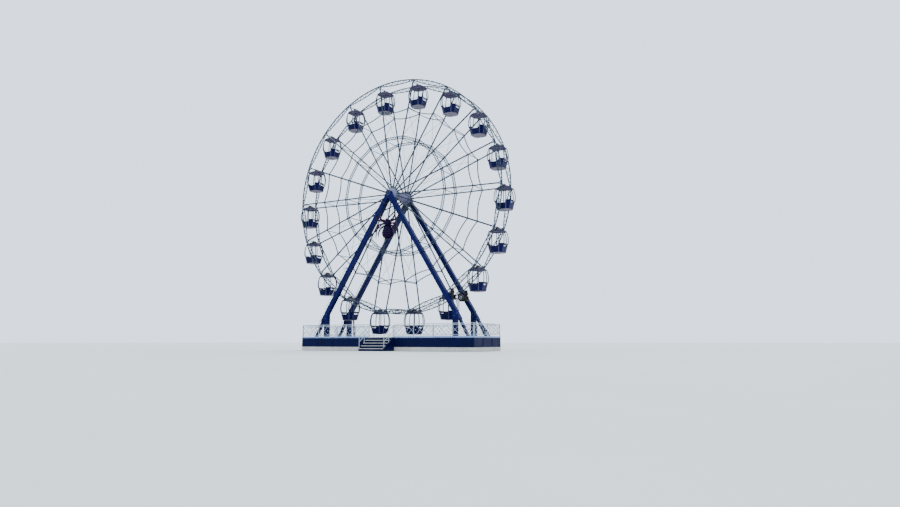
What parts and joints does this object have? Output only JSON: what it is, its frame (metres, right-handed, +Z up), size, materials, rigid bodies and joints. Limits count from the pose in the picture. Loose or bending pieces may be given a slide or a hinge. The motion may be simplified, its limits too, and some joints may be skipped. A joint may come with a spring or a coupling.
{
  "type": "ferris wheel",
  "caption": "Travelling fairground wheel on two A-frames with a raised deck; round hanging cabins with roofs stay level as the spoked double rim turns.",
  "frame": {"origin": "on the ground under the middle of the wheel, at the centre of the footprint", "axes": "+Z up, wheel axle along Y, front with the steps and the figure towards -Y, +X to the right seen from the front"},
  "size_m": [20.3276, 7.3806, 22.1798],
  "materials": {
    "white_steel": "satin white paint",
    "gondola_shell": "gloss navy moulded shell",
    "blue_steel": "gloss royal blue paint",
    "black_steel": "satin black paint",
    "drive_rubber": "matt rubber",
    "navy_panel": "satin navy paint with pale trim",
    "tread_plate": "ribbed plate",
    "grey_steel": "galvanised grey",
    "figure_shell": "gloss dark purple moulding"
  },
  "bodies": {
    "frame": {"front_bearing_head": "blue_steel", "front_left_leg": "blue_steel", "front_right_leg": "blue_steel", "front_drive_unit": "black_steel", "front_fence": "navy_panel", "rear_bearing_head": "blue_steel", "rear_left_leg": "blue_steel", "rear_right_leg": "blue_steel", "rear_drive_unit": "black_steel", "rear_fence": "navy_panel", "left_fence": "navy_panel", "right_fence": "navy_panel", "front_steps": "tread_plate", "rear_left_stay": "grey_steel", "rear_right_stay": "grey_steel", "chassis": "grey_steel", "deck": "tread_plate", "spider_figure": "figure_shell"},
    "wheel": {"hub_barrel": "white_steel", "front_spokes": "white_steel", "front_rim": "white_steel", "front_outer_ring": "white_steel", "front_inner_ring": "white_steel", "rear_spokes": "white_steel", "rear_rim": "white_steel", "rear_outer_ring": "white_steel", "rear_inner_ring": "white_steel"},
    "gondola_01": {"gondola_01": "gondola_shell"},
    "gondola_02": {"gondola_02": "gondola_shell"},
    "gondola_03": {"gondola_03": "gondola_shell"},
    "gondola_04": {"gondola_04": "gondola_shell"},
    "gondola_05": {"gondola_05": "gondola_shell"},
    "gondola_06": {"gondola_06": "gondola_shell"},
    "gondola_07": {"gondola_07": "gondola_shell"},
    "gondola_08": {"gondola_08": "gondola_shell"},
    "gondola_09": {"gondola_09": "gondola_shell"},
    "gondola_10": {"gondola_10": "gondola_shell"},
    "gondola_11": {"gondola_11": "gondola_shell"},
    "gondola_12": {"gondola_12": "gondola_shell"},
    "gondola_13": {"gondola_13": "gondola_shell"},
    "gondola_14": {"gondola_14": "gondola_shell"},
    "gondola_15": {"gondola_15": "gondola_shell"},
    "gondola_16": {"gondola_16": "gondola_shell"},
    "gondola_17": {"gondola_17": "gondola_shell"},
    "gondola_18": {"gondola_18": "gondola_shell"},
    "front_drive_tyre": {"front_drive_tyre": "drive_rubber"},
    "rear_drive_tyre": {"rear_drive_tyre": "drive_rubber"}
  },
  "joints": [
    {"name": "wheel_turn", "type": "hinge", "parent": "frame", "child": "wheel", "pos_m": [0, 0, 12.55], "axis": [0, 1, 0], "continuous": true},
    {"name": "gondola_01_swing", "type": "hinge", "parent": "wheel", "child": "gondola_01", "pos_m": [9.43929, 0, 12.43467], "axis": [0, 1, 0], "continuous": true},
    {"name": "gondola_02_swing", "type": "hinge", "parent": "wheel", "child": "gondola_02", "pos_m": [8.90948, 0, 15.67006], "axis": [0, 1, 0], "continuous": true},
    {"name": "gondola_03_swing", "type": "hinge", "parent": "wheel", "child": "gondola_03", "pos_m": [7.30505, 0, 18.52912], "axis": [0, 1, 0], "continuous": true},
    {"name": "gondola_04_swing", "type": "hinge", "parent": "wheel", "child": "gondola_04", "pos_m": [4.81952, 0, 20.667], "axis": [0, 1, 0], "continuous": true},
    {"name": "gondola_05_swing", "type": "hinge", "parent": "wheel", "child": "gondola_05", "pos_m": [1.75269, 0, 21.82587], "axis": [0, 1, 0], "continuous": true},
    {"name": "gondola_06_swing", "type": "hinge", "parent": "wheel", "child": "gondola_06", "pos_m": [-1.52554, 0, 21.86592], "axis": [0, 1, 0], "continuous": true},
    {"name": "gondola_07_swing", "type": "hinge", "parent": "wheel", "child": "gondola_07", "pos_m": [-4.61977, 0, 20.78233], "axis": [0, 1, 0], "continuous": true},
    {"name": "gondola_08_swing", "type": "hinge", "parent": "wheel", "child": "gondola_08", "pos_m": [-7.15679, 0, 18.70581], "axis": [0, 1, 0], "continuous": true},
    {"name": "gondola_09_swing", "type": "hinge", "parent": "wheel", "child": "gondola_09", "pos_m": [-8.83059, 0, 15.8868], "axis": [0, 1, 0], "continuous": true},
    {"name": "gondola_10_swing", "type": "hinge", "parent": "wheel", "child": "gondola_10", "pos_m": [-9.43929, 0, 12.66533], "axis": [0, 1, 0], "continuous": true},
    {"name": "gondola_11_swing", "type": "hinge", "parent": "wheel", "child": "gondola_11", "pos_m": [-8.90948, 0, 9.42994], "axis": [0, 1, 0], "continuous": true},
    {"name": "gondola_12_swing", "type": "hinge", "parent": "wheel", "child": "gondola_12", "pos_m": [-7.30505, 0, 6.57088], "axis": [0, 1, 0], "continuous": true},
    {"name": "gondola_13_swing", "type": "hinge", "parent": "wheel", "child": "gondola_13", "pos_m": [-4.81952, 0, 4.433], "axis": [0, 1, 0], "continuous": true},
    {"name": "gondola_14_swing", "type": "hinge", "parent": "wheel", "child": "gondola_14", "pos_m": [-1.75269, 0, 3.27413], "axis": [0, 1, 0], "continuous": true},
    {"name": "gondola_15_swing", "type": "hinge", "parent": "wheel", "child": "gondola_15", "pos_m": [1.52554, 0, 3.23408], "axis": [0, 1, 0], "continuous": true},
    {"name": "gondola_16_swing", "type": "hinge", "parent": "wheel", "child": "gondola_16", "pos_m": [4.61977, 0, 4.31767], "axis": [0, 1, 0], "continuous": true},
    {"name": "gondola_17_swing", "type": "hinge", "parent": "wheel", "child": "gondola_17", "pos_m": [7.15679, 0, 6.39419], "axis": [0, 1, 0], "continuous": true},
    {"name": "gondola_18_swing", "type": "hinge", "parent": "wheel", "child": "gondola_18", "pos_m": [8.83059, 0, 9.2132], "axis": [0, 1, 0], "continuous": true},
    {"name": "front_drive_tyre_spin", "type": "hinge", "parent": "frame", "child": "front_drive_tyre", "pos_m": [5.25945, -0.83, 4.13312], "axis": [0, 1, 0], "continuous": true},
    {"name": "rear_drive_tyre_spin", "type": "hinge", "parent": "frame", "child": "rear_drive_tyre", "pos_m": [5.25945, 0.83, 4.13312], "axis": [0, 1, 0], "continuous": true}
  ],
  "couplings": [
    {"joint": "gondola_01_swing", "follows": "wheel_turn", "ratio": -1},
    {"joint": "gondola_02_swing", "follows": "wheel_turn", "ratio": -1},
    {"joint": "gondola_03_swing", "follows": "wheel_turn", "ratio": -1},
    {"joint": "gondola_04_swing", "follows": "wheel_turn", "ratio": -1},
    {"joint": "gondola_05_swing", "follows": "wheel_turn", "ratio": -1},
    {"joint": "gondola_06_swing", "follows": "wheel_turn", "ratio": -1},
    {"joint": "gondola_07_swing", "follows": "wheel_turn", "ratio": -1},
    {"joint": "gondola_08_swing", "follows": "wheel_turn", "ratio": -1},
    {"joint": "gondola_09_swing", "follows": "wheel_turn", "ratio": -1},
    {"joint": "gondola_10_swing", "follows": "wheel_turn", "ratio": -1},
    {"joint": "gondola_11_swing", "follows": "wheel_turn", "ratio": -1},
    {"joint": "gondola_12_swing", "follows": "wheel_turn", "ratio": -1},
    {"joint": "gondola_13_swing", "follows": "wheel_turn", "ratio": -1},
    {"joint": "gondola_14_swing", "follows": "wheel_turn", "ratio": -1},
    {"joint": "gondola_15_swing", "follows": "wheel_turn", "ratio": -1},
    {"joint": "gondola_16_swing", "follows": "wheel_turn", "ratio": -1},
    {"joint": "gondola_17_swing", "follows": "wheel_turn", "ratio": -1},
    {"joint": "gondola_18_swing", "follows": "wheel_turn", "ratio": -1},
    {"joint": "front_drive_tyre_spin", "follows": "wheel_turn", "ratio": -34.429},
    {"joint": "rear_drive_tyre_spin", "follows": "wheel_turn", "ratio": -34.429}
  ]
}
